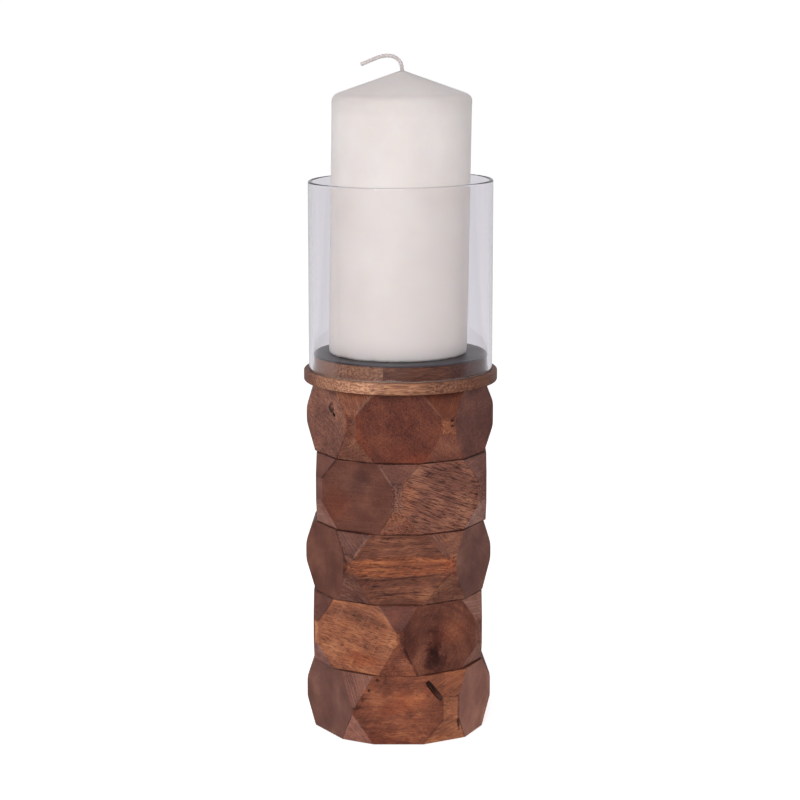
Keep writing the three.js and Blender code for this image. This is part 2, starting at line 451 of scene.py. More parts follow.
# The lacquer: its roughness, and the relief that shows through it.
LACQUER_ROUGHNESS = 0.38
SCRATCH_ROUGHNESS = 0.16
FIGURE_RELIEF = 0.5
SCRATCH_RELIEF = 0.35
WOOD_RELIEF = 0.12 * MM

# Tints that faces and patches multiply the wood's colour by. Most are tones of the wood. MAUVE_SHEEN and
# LILAC_SHEEN paint a grey-lilac sheen, and PAINTED_GLINT paints a highlight.
# DARK_AND_SHADE and DIM_AND_SHADE are dark tones that also paint shade inside hollows.
PLAIN = (1.0, 1.0, 1.0)
UMBER = (0.80, 0.70, 0.70)
COCOA = (0.68, 0.54, 0.54)
RUST = (1.10, 0.88, 0.74)
AMBER = (1.30, 1.18, 1.00)
HONEY = (1.60, 1.53, 1.25)
STRAW = (1.95, 1.95, 1.60)
EMBER = (1.40, 1.12, 0.76)
TAN = (1.05, 1.14, 1.20)
DUSK = (0.74, 0.78, 0.92)
MAUVE_SHEEN = (1.15, 1.25, 1.45)
LILAC_SHEEN = (1.60, 1.80, 2.10)
DIM_AND_SHADE = (0.52, 0.46, 0.48)
DARK_AND_SHADE = (0.20, 0.16, 0.17)
PAINTED_GLINT = (3.4, 3.6, 3.4)


class Patch(NamedTuple):
    """An oval area of tinted wood, in mm from the middle of a facet and the bottom of its block.

    reach is how deep it goes in mm, core is the share of it that has the full tint, ragged is how
    uneven its edge is, and behind is how far its middle lies behind the facet, in mm.
    """

    azimuth: float
    right: float
    up: float
    half_width: float
    half_height: float
    tint: tuple
    turn: float = 0
    reach: float = 9
    core: float = 0.2
    ragged: float = 0.4
    behind: float = 0


class Look(NamedTuple):
    """How one block's wood looks.

    heading turns the grain from +X towards +Y and dip tips its far end down, in degrees. pith is the
    heart of the rings: azimuth, mm right, mm up and mm behind that facet. ring is how wide they are in
    mm, and rings and streaks are how strong those are. blotches are how strong and how wide in mm.
    swirl is how far the grain wanders in mm. dashes, the dark pores, are how long for their width, how
    wide in mm, how dense and how strong. calm is how much the figure fades on end grain. tones_and_light
    go
    by kind of face and azimuth: they set each face's tone and also paint the light, sheen and shade on
    it.
    marks are light (1) to dark (-1) edges of a facet: light where worn and painted with a highlight,
    dark where burnt.
    """

    heading: float
    dip: float
    pith: tuple
    ring: float
    rings: float
    streaks: float
    blotches: tuple
    swirl: float
    dashes: tuple
    calm: float
    tones_and_light: dict
    marks: dict
    patches: tuple


# Each look's face tints set the tone of that face's wood and also paint the light, sheen and shade on
# it. The tints that raise blue most paint a grey-lilac sheen.
LOOKS = {
    "base_block": Look(
        heading=5, dip=4, pith=(0, -34, 4, 20), ring=7, rings=0.30, streaks=0.35, blotches=(0.55, 12),
        swirl=18, dashes=(5, 0.7, 0.2, 0.5), calm=0.8,
        tones_and_light={
            "facet": {-60: (0.98, 1.18, 1.50), 0: RUST, 60: (1.58, 1.88, 2.28)},
            "flat": {-30: UMBER, 30: STRAW},
            "upper": {-30: MAUVE_SHEEN, 30: EMBER},
            "lower": {-30: LILAC_SHEEN, 30: HONEY},
        },
        marks={
            (0, "lower right"): -0.5, (60, "left"): -0.7,
            (60, "lower left"): -1, (-60, "lower right"): -0.9,
        },
        patches=(
            # These two darken the inside of the hollow: painted shade.
            Patch(0, 19.3, 30.3, 7.5, 2.2, DIM_AND_SHADE, turn=51, reach=1.5, core=0.9, ragged=0, behind=2.2),
            Patch(0, 18.5, 31.2, 6, 1.2, DARK_AND_SHADE, turn=51, reach=2, core=0.3, ragged=0.2, behind=2),
            Patch(0, -16, 30.3, 1.3, 1.5, DARK_AND_SHADE),
            Patch(0, -11.5, 36.4, 1.5, 1.0, DARK_AND_SHADE),
            Patch(0, -22.5, 20.5, 2.6, 1.5, DIM_AND_SHADE, ragged=0.8),
            Patch(0, -19.5, 25.5, 1.3, 2.2, DIM_AND_SHADE, ragged=0.8),
            Patch(0, -3, 4, 18, 6, UMBER, ragged=0.9, core=0.3),
            Patch(0, 4, 24, 19, 7, AMBER, turn=-14, ragged=0.9, core=0.3),
            Patch(60, -17, 9.5, 1.1, 5.5, DARK_AND_SHADE, turn=-25, ragged=0.6, core=0.4),
        ),
    ),
    "second_block": Look(
        heading=-30, dip=9, pith=(30, -6, 9, 0), ring=4.2, rings=0.40, streaks=0.30, blotches=(0.3, 22),
        swirl=4, dashes=(8, 0.5, 0.7, 0.65), calm=0.25,
        tones_and_light={
            "facet": {-30: HONEY, 30: (0.76, 0.63, 0.61)},
            "flat": {-60: (2.4, 2.7, 2.3), 0: (2.6, 2.7, 2.1), 60: (0.90, 0.90, 1.0)},
            "upper": {-60: COCOA, 0: (0.65, 0.36, 0.25), 60: (1.45, 1.65, 1.82)},
            "lower": {-60: (1.52, 1.8, 2.3), 0: (1.12, 0.91, 0.82), 60: (1.40, 1.66, 1.96)},
        },
        marks={(-30, "upper right"): 0.5, (30, "lower left"): -0.8, (30, "left"): -0.4},
        patches=(
            Patch(30, -3, 18, 6, 9, COCOA, turn=12, ragged=1.3, core=0.4),
            Patch(30, -3, 8, 10, 8, DIM_AND_SHADE, turn=20, ragged=1.3, core=0.3),
            Patch(30, -5, 13, 7, 10, COCOA, turn=-14, ragged=1.4, core=0.1),
            Patch(30, 9, 23, 13, 9, AMBER, ragged=0.8, core=0.3),
            Patch(30, -19, 18, 6, 13, UMBER, ragged=0.6),
            Patch(-30, 0, 34, 19, 7, (0.88, 0.92, 1.0), ragged=0.5),
            Patch(-30, 3, 8, 17, 6, RUST, ragged=0.8, core=0.1),
        ),
    ),
    "third_block": Look(
        heading=0, dip=-2, pith=(0, 12, 1, 16), ring=3.6, rings=0.45, streaks=0.45, blotches=(0.2, 22),
        swirl=6, dashes=(8, 0.7, 0.5, 0.75), calm=0.8,
        tones_and_light={
            "facet": {-60: (0.80, 0.80, 0.90), 0: (0.90, 0.81, 0.74), 60: (0.86, 0.98, 1.24)},
            "flat": {-30: COCOA, 30: (0.92, 0.73, 0.68)},
            "upper": {-30: DUSK, 30: PLAIN},
            "lower": {-30: DUSK, 30: (0.82, 0.80, 0.82)},
            "end": {0: UMBER},
        },
        marks={
            (0, "upper left"): 1, (-60, "right"): -0.8,
            (-60, "upper right"): -0.6, (0, "lower right"): -0.3,
        },
        patches=(
            Patch(0, 0.5, 21.2, 37, 6.2, (1.34, 1.17, 0.90), turn=-2, reach=12, core=0.84, ragged=0.16),
            Patch(0, 4, 15.0, 26, 0.8, DIM_AND_SHADE, turn=-6, reach=30, core=0.3),
            Patch(0, -15, 23, 0.9, 0.8, DARK_AND_SHADE),
            Patch(0, -14, 16, 8, 5, UMBER, ragged=1.1),
            Patch(0, -12, 10.5, 3, 0.9, DIM_AND_SHADE, turn=-8),
            Patch(0, 2, 6.5, 18, 0.8, DIM_AND_SHADE, turn=-5, reach=20),
        ),
    ),
    "fourth_block": Look(
        heading=30, dip=20, pith=(30, 0, 70, 16), ring=3.5, rings=0.12, streaks=0.15, blotches=(0.2, 22),
        swirl=4, dashes=(16, 0.5, 1.0, 0.9), calm=0.7,
        tones_and_light={
            "facet": {-30: (0.75, 0.71, 0.77), 30: (1.20, 1.26, 1.36)},
            "flat": {-60: (1.0, 1.18, 1.65), 0: (1.10, 1.24, 1.45), 60: (1.40, 1.56, 1.85)},
            "upper": {-60: UMBER, 0: (0.75, 0.60, 0.58), 60: (0.90, 0.86, 0.98)},
            "lower": {-60: (1.5, 1.95, 2.5), 0: (1.18, 1.10, 1.06), 60: (1.66, 2.2, 2.9)},
        },
        marks={
            (-30, "upper right"): 0.8, (30, "upper left"): 0.7, (-30, "upper left"): -0.8,
            (-30, "right"): -0.4, (-30, "lower right"): -0.4,
        },
        patches=(
            Patch(-30, -13, 14, 14, 13, RUST, ragged=0.6, core=0.1),
            Patch(-30, 0, 28, 16, 8, DUSK, ragged=0.6, core=0.1),
            Patch(30, -21, 22, 6, 13, AMBER, ragged=0.5, core=0.1),
        ),
    ),
    "top_block": Look(
        heading=-66, dip=24, pith=(0, 40, 60, 20), ring=6, rings=0.12, streaks=0.30, blotches=(0.25, 22),
        swirl=6, dashes=(2.5, 0.6, 0.9, 0.7), calm=0.1,
        tones_and_light={
            "facet": {-60: (1.22, 1.31, 1.46), 0: (0.72, 0.49, 0.43), 60: (0.80, 0.73, 0.87)},
            "flat": {-30: COCOA, 30: AMBER},
            "upper": {-30: (1.08, 0.99, 0.88), 30: (0.69, 0.46, 0.33)},
            "lower": {-30: PLAIN, 30: (0.92, 0.82, 0.86)},
        },
        marks={
            (0, "upper left"): 0.6, (0, "upper right"): 0.7,
            (-60, "lower right"): -0.5, (0, "left"): 0.3,
        },
        patches=(
            Patch(-60, 6.5, 27.4, 3.8, 3.4, DARK_AND_SHADE, core=0.75, ragged=0.3),
            # A painted highlight: a glint in the dark knot.
            Patch(-60, 7.2, 28.0, 2.0, 1.7, PAINTED_GLINT, core=0.5, ragged=0.2),
            Patch(-60, 9.6, 24.0, 2.4, 1.6, DARK_AND_SHADE, turn=20, core=0.6),
            Patch(0, 0, 20, 13, 8, UMBER, turn=8, ragged=0.7, core=0.35),
            Patch(0, 4, 5, 17, 7, AMBER, ragged=1.0, core=0.1),
            Patch(0, -19, 11, 3, 9, AMBER, turn=-32, ragged=0.8, core=0.2),
            Patch(0, 11, 3, 11, 3, AMBER, turn=-12, ragged=0.8, core=0.2),
            Patch(0, -22, 20, 4, 10, AMBER, ragged=0.8, core=0.2),
            # These two darken the inside of the two small holes: painted shade.
            Patch(60, -23, 22.9, 1.2, 0.8, DARK_AND_SHADE, reach=3),
            Patch(60, -23, 20.0, 1.2, 0.8, DARK_AND_SHADE, reach=3),
        ),
    ),
}


def facet_point(block, azimuth, right, up, behind=0.0):
    """A point on a block's facet, in mm to the right of its middle, above its bottom and behind it."""
    low = boxes[block][0]
    outward = polar(1, azimuth)
    across = Vector((-outward.y, outward.x, 0))
    point = outward * (FACET_APOTHEM - behind * MM) + across * right * MM
    return Vector((box_centre(block).x + point.x, point.y, low.z + up * MM))


def patch_mask(wood, block, patch, figure):
    """1 in the core of a patch, falling to 0 at an edge that follows the wood's figure."""
    origin = facet_point(block, patch.azimuth, patch.right, patch.up, patch.behind)
    rotation = (0, radians(patch.turn), radians(patch.azimuth))
    size = (patch.half_width * MM, patch.reach * MM, patch.half_height * MM)
    place = wood.local(origin, rotation, size)
    place = wood.wobbled(place, PATCH_LUMPS, patch.ragged * PATCH_PUSH, detail=3)
    grain = (figure - 0.5) * (patch.ragged * PATCH_GRAIN)
    return wood.step(wood.vector("LENGTH", place) + grain, 1.0, patch.core)


def wood_figure(wood, look, bent, calm):
    """Lightness of the wood, about 0.5, from its rings, streaks, fibres, blotches and clouds."""
    radius = wood.vector("LENGTH", wood.vector("MULTIPLY", bent, (RING_SLOPE, 1, 1)))
    blotch, blotch_width = look.blotches
    patterns = (
        (wood.bands(radius, look.ring * MM, detail=3), look.rings),
        (wood.noise(wood.stretched(bent, STREAK_LENGTH), STREAK_WIDTH, 4, 0.62), look.streaks),
        (wood.noise(wood.stretched(bent, FIBRE_LENGTH), FIBRE_WIDTH, 2, 0.6), FIBRE_STRENGTH),
        (wood.noise(bent, blotch_width * MM, 3, 0.55), blotch),
    )
    figure = sum((pattern - 0.5) * strength for pattern, strength in patterns)
    cloud = (wood.noise(wood.place, CLOUD_WIDTH, detail=3) - 0.5) * CLOUD_STRENGTH
    return figure * calm + (cloud + 0.5)


def edge_marks_and_painted_light(wood, colour):
    """The colour with its worn and burnt edges, highlights painted on some edges and shade painted on
    the seams, which come and go along an edge.
    """
    patchy = wood.step(wood.noise(wood.place, MARK_PATCHES, detail=3), *MARK_LEVELS)
    mark = wood.attribute("mark") * patchy
    # Worn edges and painted highlights go lighter; burnt edges and the painted shade of the seams go
    # darker.
    colour = wood.mix(wood.math("MAXIMUM", mark, 0.0) * WORN_AND_HIGHLIGHT_AMOUNT, colour, WORN_AND_HIGHLIGHT)
    return wood.tinted(colour, BURNT_AND_SEAM_SHADE, wood.math("MINIMUM", mark, 0.0) * -BURNT_AND_SEAM_SHADE_AMOUNT)


def block_wood(block, look):
    """Lacquered reddish hardwood whose grain runs through the whole block."""
    wood = Shader("lacquered_" + block)
    turn = Euler((0, radians(look.dip), radians(look.heading)))
    grain = wood.local(facet_point(block, *look.pith), turn)
    bent = wood.wobbled(grain, GRAIN_BEND, look.swirl * MM)
    along_normal = wood.vector("DOT_PRODUCT", wood.normal, tuple(turn.to_matrix().col[0]))
    end_grain = wood.step(wood.math("ABSOLUTE", along_normal), *END_GRAIN)
    hatched = wood.attribute("hatched")
    calm = (1.0 - end_grain * look.calm) * wood.step(hatched, *SANDED_CALM)
    figure = wood_figure(wood, look, bent, calm)
    colour = wood.ramp(figure, *WOOD_SHADES)

    length, width, cover, depth = look.dashes
    specks = wood.noise(wood.stretched(bent, length), width * MM, roughness=0.55)
    level = PORE_LEVEL - PORE_COVER * cover
    pores = wood.step(specks, level, level + PORE_EDGE) * calm
    colour = wood.tinted(colour, PORE, pores * depth)
    sanding = wood.stretched(wood.attribute("sanding", "Vector"), SCRATCH_LENGTH)
    scratches = wood.noise(sanding, SCRATCH_WIDTH, roughness=0.7)
    sanded = hatched * wood.step(scratches, *SCRATCH_LEVELS) * SANDED_AMOUNT
    # The tint attribute holds each face's tone together with its painted light, sheen and shade.
    colour = wood.tinted(wood.mix(sanded, colour, SANDED), wood.attribute("tint", "Color"))
    for patch in look.patches:
        colour = wood.tinted(colour, patch.tint, patch_mask(wood, block, patch, figure))

    relief = figure * FIGURE_RELIEF - pores + scratches * SCRATCH_RELIEF
    gloss = LACQUER_ROUGHNESS + scratches * SCRATCH_ROUGHNESS
    colour = edge_marks_and_painted_light(wood, colour)
    return wood.finish(colour, gloss, relief, depth=WOOD_RELIEF, strength=0.6, **LACQUER)


# ---------------------------------------------------------------- block shape

BLANK_WIDTH = 3 * CORNER_APOTHEM
CUT_TOLERANCE = 1e-7
EASING_STEPS = 3
SCREW_SHANK_RADIUS = 1.9 * MM
SCREW_HEAD_HEIGHT = 3 * MM
COUNTERBORE_ROOM = 1 * MM

# Ranges of the random draws, in mm, degrees and shares.
SPARE_RUN = (21, 25)
LEVEL_SHIFT = (-1, 1)
CHAMFER_SHIFT = (-0.2, 0.3)
CHAMFER_SKEW = (-2.5, 2.5)
EASING_SHARE = (0.75, 1.25)
SANDING_TURN = (-70, 70)

# Hollows in the wood: (azimuth, mm right, mm up, half width, half height, turn, depth), on a facet.
HOLLOWS = {
    "base_block": [(0, 19.3, 30.3, 6.6, 1.6, 51, 2.8)],
    "top_block": [
        (60, -23, 22.9, 0.8, 0.5, 0, 1.5),
        (60, -23, 20.0, 0.8, 0.5, 0, 1.5),
        (-60, 9.6, 24.0, 1.3, 0.8, 20, 0.5),
    ],
}
HOLLOW_SQUARENESS = 0.4
HOLLOW_UNEVEN = 0.1
HOLLOW_LUMPS = 2.5

# How a block's faces are told apart: by size, by how far their normal leans up or down or points
# outwards, and by its turn in degrees.
SMALLEST_FACE = 12 * MM * MM
END_LEAN = 0.9
SEAM_LEAN = 0.4
UPRIGHT_LEAN = 0.02
LYING_FACE = 0.1
FACET_TURN = 15
FACET_MARK_TURN = 26

# Seams get painted shade, apart from the edge that the object stands on.
SEAM_LOWEST = 10 * MM
SEAM_SHADE = -1

# Tints for the faces whose look names none, and how much the marks of sanding show on each kind.
SPARE_TINTS = (PLAIN, UMBER, TAN, RUST, AMBER, DUSK)
HATCHED = {"upper": 1.0, "lower": 0.8, "facet": 0.42}


def turn_between(start, end):
    """The shorter turn from one azimuth to another, in degrees, above -180 and up to 180."""
    return 180 - (180 - end + start) % 360


def block_azimuths(block):
    """Azimuths of a block's six facets and of its six corners."""
    turn = BLOCKS.index(block) % 2 * FACET_STEP // 2
    facets = [turn_between(0, turn + FACET_STEP * index) for index in range(360 // FACET_STEP)]
    return facets, [turn_between(0, azimuth + FACET_STEP // 2) for azimuth in facets]


def bisect(mesh, point, normal, kind):
    """Cuts away what lies outside a plane and closes the cut with one face of a kind."""
    layer = mesh.faces.layers.int["kind"]
    geometry = [*mesh.verts, *mesh.edges, *mesh.faces]
    plane = {"plane_co": point, "plane_no": normal}
    bmesh.ops.bisect_plane(mesh, geom=geometry, dist=CUT_TOLERANCE, clear_outer=True, **plane)
    rim = [edge for edge in mesh.edges if edge.is_boundary]
    if rim:
        for face in bmesh.ops.contextual_create(mesh, geom=rim)["faces"]:
            face[layer] = FACE_KINDS.index(kind)


def facet_planes(block, dice):
    """A point, a normal and a kind for each of a block's six facets."""
    planes = []
    for azimuth in block_azimuths(block)[0]:
        drawn = (dice.uniform(*SPARE_RUN), dice.uniform(*SPARE_RUN))
        left, right = FACET_RUNS[block].get(azimuth, drawn)
        measured = sqrt(TURNED_RADIUS ** 2 - ((left + right) / 2 * MM) ** 2)
        apothem = FACET_APOTHEM + (measured - FACET_APOTHEM) * HAND_CUT_SHARE
        skewed = azimuth + degrees(asin((right - left) / 2 * MM / apothem))
        planes.append((polar(apothem, skewed), polar(1, skewed), "facet"))
    return planes


def corner_planes(block, height, dice):
    """For each corner: its upright flat, and the chamfers that run to the bottom and the top."""
    planes = []
    for azimuth in block_azimuths(block)[1]:
        middle = height / 2 + dice.uniform(*LEVEL_SHIFT) * MM
        reach = FLAT_HALF_HEIGHT + dice.uniform(*LEVEL_SHIFT) * MM
        drawn = [(middle - reach) / MM, (middle + reach) / MM]
        lower, upper = (level * MM for level in CORNER_FLATS[block].get(azimuth, drawn))
        planes.append((polar(CORNER_APOTHEM, azimuth), polar(1, azimuth), "flat"))
        for level, end, side in ((lower, 0, -1), (upper, height, 1)):
            skewed = azimuth + dice.uniform(*CHAMFER_SKEW)
            depth = CORNER_APOTHEM - NECK_APOTHEM + dice.uniform(*CHAMFER_SHIFT) * MM
            normal = polar(abs(end - level), skewed, side * depth)
            planes.append((polar(CORNER_APOTHEM, azimuth, level), normal, "chamfer"))
    return planes


def edge_weight(edge, layer, dice):
    """Share of the widest easing that one edge gets."""
    kinds = tuple(sorted(FACE_KINDS[face[layer]] for face in edge.link_faces))
    return min(1, EASED_EDGES.get(kinds, 0) * dice.uniform(*EASING_SHARE) / WIDEST_EDGE)


def carved_block(block, dice):
    """One block: a squared blank cut back by facet, corner and chamfer planes, its edges eased."""
    low, high = boxes[block]
    height = high.z - low.z
    mesh = bmesh.new()
    mesh.faces.layers.int.new("kind")
    blank = Matrix.Diagonal((BLANK_WIDTH, BLANK_WIDTH, height, 1))
    bmesh.ops.create_cube(mesh, size=1, matrix=Matrix.Translation((0, 0, height / 2)) @ blank)
    for point, normal, kind in [*facet_planes(block, dice), *corner_planes(block, height, dice)]:
        bisect(mesh, point, normal, kind)
    layer = mesh.faces.layers.int["kind"]
    weights = mesh.edges.layers.float.new("bevel_weight_edge")
    for edge in mesh.edges:
        edge[weights] = edge_weight(edge, layer, dice)
    bmesh.ops.translate(mesh, vec=(box_centre(block).x, 0, low.z), verts=mesh.verts)
    bmesh.ops.recalc_face_normals(mesh, faces=mesh.faces)
    made = to_object(block + "_wood", mesh)
    bevel = made.modifiers.new("ease", "BEVEL")
    bevel.limit_method = "WEIGHT"
    bevel.width = WIDEST_EDGE * MM
    bevel.segments = EASING_STEPS
    bake_modifiers(made)
    return made


def on_axis_of(node, tool):
    """A tool made on the column's axis, moved to a CAD node's own axis."""
    centre = box_centre(node)
    bmesh.ops.translate(tool, vec=(centre.x, centre.y, 0), verts=tool.verts)
    return tool


def bore(node, bottom, top, extra=CLEARANCE):
    """A cylinder round a CAD node, between two levels."""
    radius = box_radius(node) + extra
    profile = [(0, bottom), (radius, bottom), (radius, top), (0, top)]
    return on_axis_of(node, turned(profile, BORE_SIDES))


def hardware_bores(low, high):
    """Clearance bores for the dowels and the rod that lie between two levels."""
    tools = []
    for name in [*names_of("dowel_"), "tie_rod"]:
        bottom, top = boxes[name]
        if bottom.z < high and top.z > low:
            tools.append(bore(name, bottom.z - CLEARANCE, top.z + CLEARANCE))
    return tools


def screw_bores():
    """Clearance for the three countersunk screws: shanks that widen into heads."""
    tools = []
    for name in names_of("ledge_screw_"):
        low, high = boxes[name]
        bottom, top = low.z - CLEARANCE, high.z + CLEARANCE * 2
        head, shank = box_radius(name) + CLEARANCE, SCREW_SHANK_RADIUS + CLEARANCE
        profile = [(0, bottom), (shank, bottom), (shank, high.z - SCREW_HEAD_HEIGHT)]
        profile += [(head, high.z), (head, top), (0, top)]
        tools.append(on_axis_of(name, turned(profile, BORE_SIDES)))
    return tools


def hollow_tool(block, azimuth, right, up, half_width, half_height, turn, depth):
    """A rounded, uneven box that cuts a shallow hollow into a facet."""
    tool = bmesh.new()
    bmesh.ops.create_icosphere(tool, subdivisions=3, radius=1)
    for vertex in tool.verts:
        squared = Vector([copysign(abs(part) ** HOLLOW_SQUARENESS, part) for part in vertex.co])
        vertex.co = squared * (1 + HOLLOW_UNEVEN * noise.noise(vertex.co * HOLLOW_LUMPS))
    scale = Matrix.Diagonal((half_width * MM, depth * MM, half_height * MM, 1))
    rotation = Euler((0, radians(turn), radians(azimuth))).to_matrix().to_4x4()
    place = Matrix.Translation(facet_point(block, azimuth, right, up))
    bmesh.ops.transform(tool, matrix=place @ rotation @ scale, verts=tool.verts)
    return tool


def block_tools(block):
    """Everything that is cut out of one block."""
    low, high = boxes[block]
    tools = hardware_bores(low.z, high.z)
    if block == "base_block":
        tools.append(bore("base_felt_pad", low.z - MM, boxes["base_felt_pad"][1].z + CLEARANCE))
        tools.append(bore("lower_washer", low.z - MM, boxes["lower_washer"][1].z, COUNTERBORE_ROOM))
    if block == "top_block":
        tools.append(bore("upper_washer", boxes["upper_washer"][0].z, high.z + MM, COUNTERBORE_ROOM))
        tools += screw_bores()
    return tools + [hollow_tool(block, *hollow) for hollow in HOLLOWS.get(block, [])]


def nearest_azimuth(point, block, azimuths):
    """Which of the azimuths a point lies at, seen from its block's axis."""
    seen = degrees(atan2(point.x - box_centre(block).x, -point.y))
    return min(azimuths, key=lambda azimuth: abs(turn_between(azimuth, seen)))


def face_key(face, block, facets, corners):
    """What kind of face this is and its azimuth, or None on an eased edge or inside a bore."""
    lean = face.normal.z
    if abs(lean) > END_LEAN:
        return "end", 0
    if face.area < SMALLEST_FACE:
        return None
    azimuth = nearest_azimuth(face.center, block, facets)
    upright = abs(lean) < UPRIGHT_LEAN
    if upright and polar(1, azimuth).dot(face.normal) > cos(radians(FACET_TURN)):
        return "facet", azimuth
    kind = "flat" if upright else "upper" if lean > 0 else "lower"
    return kind, nearest_azimuth(face.center, block, corners)


def edge_mark_and_painted_light(face, block, look, facets):
    """The mark on an eased edge: light where worn and painted with a highlight (above 0), dark where the
    cut burnt it or where a seam gets painted shade (below 0).
    """
    lean = face.normal.z
    if abs(lean) > SEAM_LEAN:
        return SEAM_SHADE if face.center.z > SEAM_LOWEST else 0
    azimuth = nearest_azimuth(face.center, block, facets)
    turn = turn_between(azimuth, degrees(atan2(face.normal.x, -face.normal.y)))
    if abs(turn) > FACET_MARK_TURN:
        return 0
    tilt = "upper " if lean > UPRIGHT_LEAN else "lower " if lean < -UPRIGHT_LEAN else ""
    return look.marks.get((azimuth, tilt + ("right" if turn > 0 else "left")), 0)


def spread(values, edges):
    """Gives each vertex without a value the mean of its neighbours' values, until all have one."""
    while None in values:
        near = [[] for _ in values]
        for first, second in edges:
            for vertex, other in ((first, second), (second, first)):
                if values[other] is not None:
                    near[vertex].append(values[other])
        for vertex, found in enumerate(near):
            if values[vertex] is None and found:
                values[vertex] = sum(found, Vector((0, 0, 0))) / len(found)


def paint_tones_and_light(data, keys, look, dice):
    """Colours each face by its kind and azimuth, with a soft change across the eased edges. Each colour
    holds the face's tone and also paints the light, sheen and shade on that face.
    """
    chosen = {None: None}
    for key in dict.fromkeys(keys):
        if key:
            chosen[key] = Vector(look.tones_and_light.get(key[0], {}).get(key[1], dice.choice(SPARE_TINTS)))
    tones_and_light = [chosen[key] for key in keys]
    shades = [None] * len(data.vertices)
    for face, tint in zip(data.polygons, tones_and_light):
        for vertex in face.vertices:
            if tint is not None:
                shades[vertex] = tint if shades[vertex] is None else (shades[vertex] + tint) / 2
    spread(shades, [tuple(edge.vertices) for edge in data.edges])
    layer = data.attributes.new("tint", "FLOAT_COLOR", "CORNER")
    for face, tint in zip(data.polygons, tones_and_light):
        for corner in face.loop_indices:
            shown = shades[data.loops[corner].vertex_index] if tint is None else tint
            layer.data[corner].color = (*shown, 1)


def sanding_frame(face):
    """Directions across and up a face, which the marks of sanding are laid out along."""
    across = Vector((-face.normal.y, face.normal.x, 0))
    across = across.normalized() if across.length > LYING_FACE else Vector((1, 0, 0))
    return across, face.normal.cross(across)


def paint_faces(made, block, look, dice):
    """Writes the attributes that the wood reads: tint (tone with painted light), mark (wear, burns,
    painted highlights and seam shade), hatched, and where sanding marks run.
    """
    data = made.data
    facets, corners = block_azimuths(block)
    keys = [face_key(face, block, facets, corners) for face in data.polygons]
    paint_tones_and_light(data, keys, look, dice)
    marks = data.attributes.new("mark", "FLOAT", "FACE")
    hatched = data.attributes.new("hatched", "FLOAT", "FACE")
    sanding = data.attributes.new("sanding", "FLOAT_VECTOR", "CORNER")
    turns = {key: dice.uniform(*SANDING_TURN) for key in dict.fromkeys(keys)}
    for face, key in zip(data.polygons, keys):
        marks.data[face.index].value = 0 if key else edge_mark_and_painted_light(face, block, look, facets)
        hatched.data[face.index].value = HATCHED.get(key[0], 0) if key else 0
        across, upward = sanding_frame(face)
        for corner in face.loop_indices:
            point = data.vertices[data.loops[corner].vertex_index].co
            flat = Vector((point.dot(across), point.dot(upward), 0))
            flat.rotate(Euler((0, 0, radians(turns[key]))))
            sanding.data[corner].vector = flat


def add_block(block):
    dice = random.Random(block)
    made = carved_block(block, dice)
    cut(made, block_tools(block))
    paint_faces(made, block, LOOKS[block], dice)
    finish_piece(made, block_wood(block, LOOKS[block]), "holder", "block_wood", block)


# ---------------------------------------------------------------- ledge, raised disc, candle plate

LEDGE_EDGE = 1.0 * MM
DISC_EDGE = 0.6 * MM
PLATE_EDGE = 0.3 * MM
DISC_HEADING = 12
BOARD_EDGE_STEPS = 5
TURNED_SHADES = (
    (0.34, (0.17, 0.064, 0.037)), (0.50, (0.33, 0.140, 0.075)), (0.64, (0.50, 0.238, 0.130)),
)

# Tints along X, as shares of the width. The ledge is one board whose tone drifts, and the disc is
# edge-glued from staves, so each of its tints starts at a joint. Both also paint light. The ledge is
# lighter and bluer left of the middle, which paints light and sheen, and darker towards both ends, which
# paints shade.
# The disc's two pale, bluish left staves paint light and the glass's reflection on top of their tone.
LEDGE_TONES_AND_LIGHT = (
    (0.03, (0.55, 0.44, 0.46)), (0.10, (1.00, 1.05, 1.12)), (0.30, (1.38, 1.54, 1.64)),
    (0.50, (1.05, 1.06, 1.02)), (0.70, (0.64, 0.61, 0.63)), (0.92, (0.50, 0.44, 0.45)),
)
DISC_STAVES_AND_LIGHT = (
    (0.00, (0.80, 0.90, 1.08)), (0.20, (0.77, 0.82, 0.88)), (0.40, (0.37, 0.27, 0.25)),
    (0.62, (0.34, 0.26, 0.26)), (0.775, (0.27, 0.22, 0.29)),
)


def board_profile(node, edge):
    """Half section of a round board with rounded edges."""
    low, high = boxes[node]
    rim = box_radius(node) - edge
    lower = arc(rim, low.z + edge, edge, -90, 0, BOARD_EDGE_STEPS)
    upper = arc(rim, high.z - edge, edge, 0, 90, BOARD_EDGE_STEPS)
    return [(0, low.z), *lower, *upper, (0, high.z)]


def turned_wood(name, node, heading, tones_and_light, glued):
    """Lacquered golden brown wood, of one board or edge-glued from staves with their own figure."""
    wood = Shader(name)
    low, high = boxes[node]
    share = (wood.axis(wood.place, "X") - low.x) / (high.x - low.x)
    shade = wood.ramp(share, *tones_and_light, interpolation="CONSTANT" if glued else "EASE")
    grain = wood.rotated(0, 0, heading)
    if glued:
        starts = [(start, (index / len(tones_and_light),) * 3) for index, (start, tint) in enumerate(tones_and_light)]
        grain = wood.vector("ADD", grain, wood.ramp(share, *starts, interpolation="CONSTANT"))
    bent = wood.wobbled(grain, size=14 * MM, amount=4 * MM)
    streaks = wood.noise(wood.stretched(bent, along=16), 0.9 * MM, detail=4, roughness=0.6)
    pores = wood.step(wood.noise(wood.stretched(bent, along=14), 0.6 * MM), 0.52, 0.62)
    colour = wood.tinted(wood.ramp(streaks, *TURNED_SHADES), PORE, pores * 0.5)
    colour = wood.tinted(colour, shade)
    gloss = wood.step(streaks, 0.2, 0.8, low=0.40, high=0.52)
    relief = streaks * 0.4 - pores
    return wood.finish(colour, gloss, relief, depth=0.1 * MM, strength=0.6, **LACQUER)


